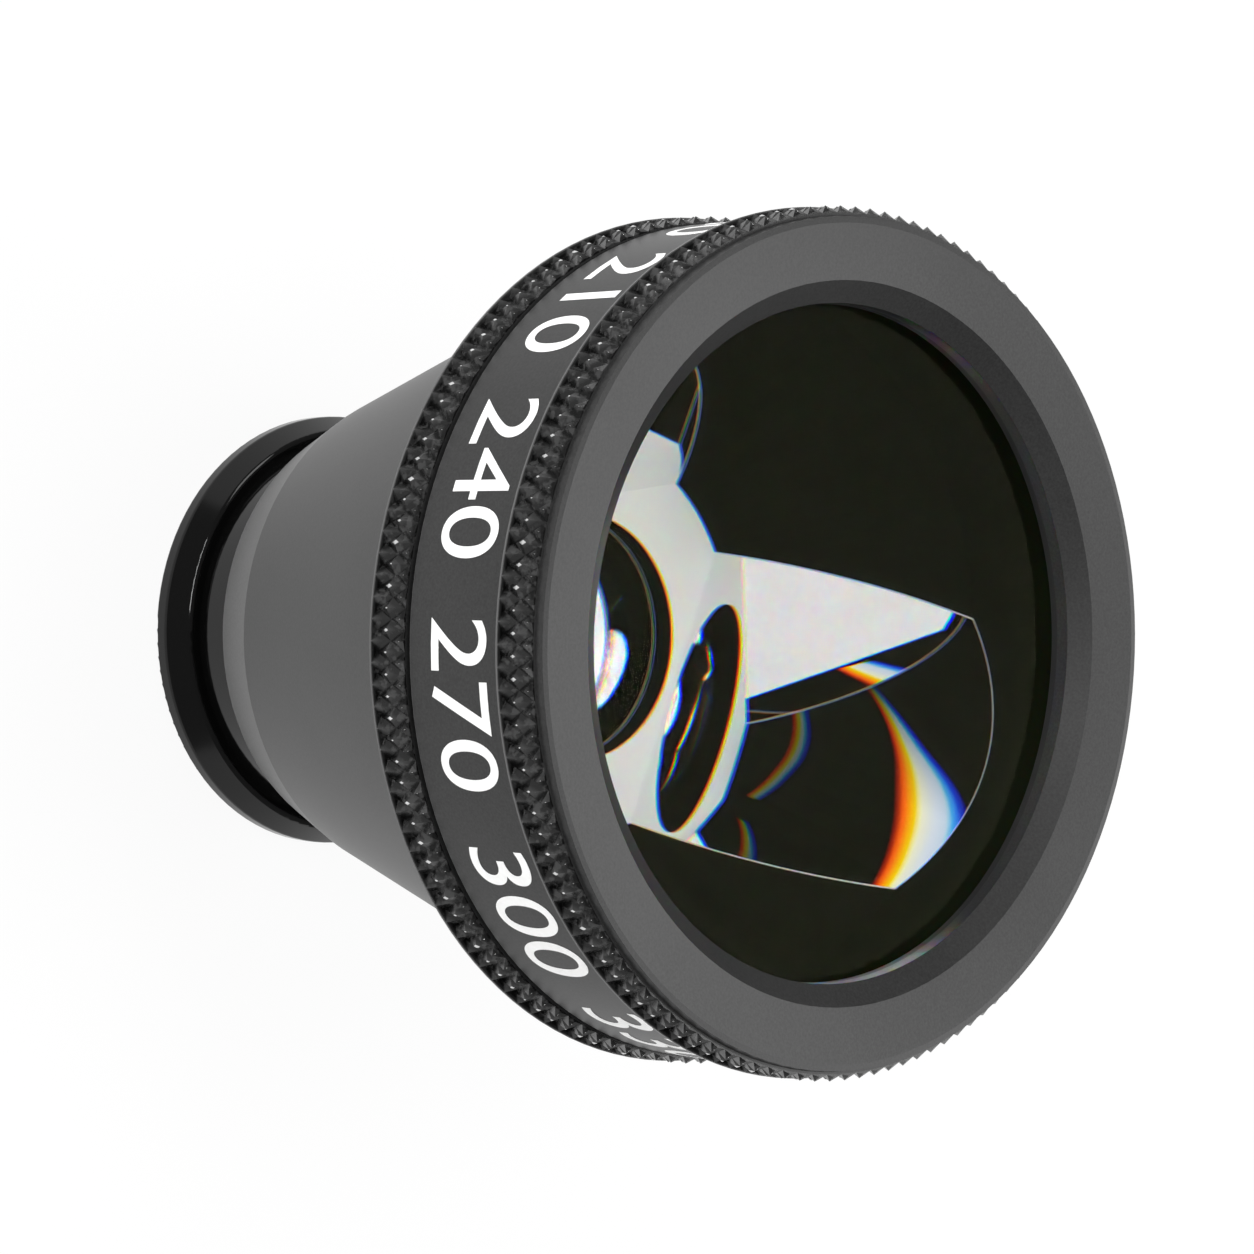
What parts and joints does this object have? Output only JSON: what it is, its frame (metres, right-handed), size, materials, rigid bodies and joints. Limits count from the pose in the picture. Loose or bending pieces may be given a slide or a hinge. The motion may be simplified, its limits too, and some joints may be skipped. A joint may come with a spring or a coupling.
{
  "type": "three-mirror contact lens",
  "caption": "Hand-held eye examination lens: clear prism body with mirrored flats in a black knurled cone, with a round contact flange at the narrow end.",
  "frame": {"origin": "centre of the contact flange's foot, where the lens stands", "axes": "+Z along the optical axis, from the contact flange towards the front face"},
  "size_m": [0.0358, 0.0358, 0.0345],
  "materials": {
    "flange": "gloss",
    "washer": "matte",
    "acrylic": "polished",
    "mirror": "mirror",
    "housing": "satin anodised",
    "ring": "satin anodised",
    "gasket": "matte"
  },
  "bodies": {
    "root": {"contact_flange": "flange", "seat_washer": "washer", "optical_body": "acrylic", "mirror_59": "mirror", "mirror_67": "mirror", "mirror_73": "mirror", "cone_housing": "housing", "front_ring": "ring", "front_gasket": "gasket"}
  },
  "joints": []
}
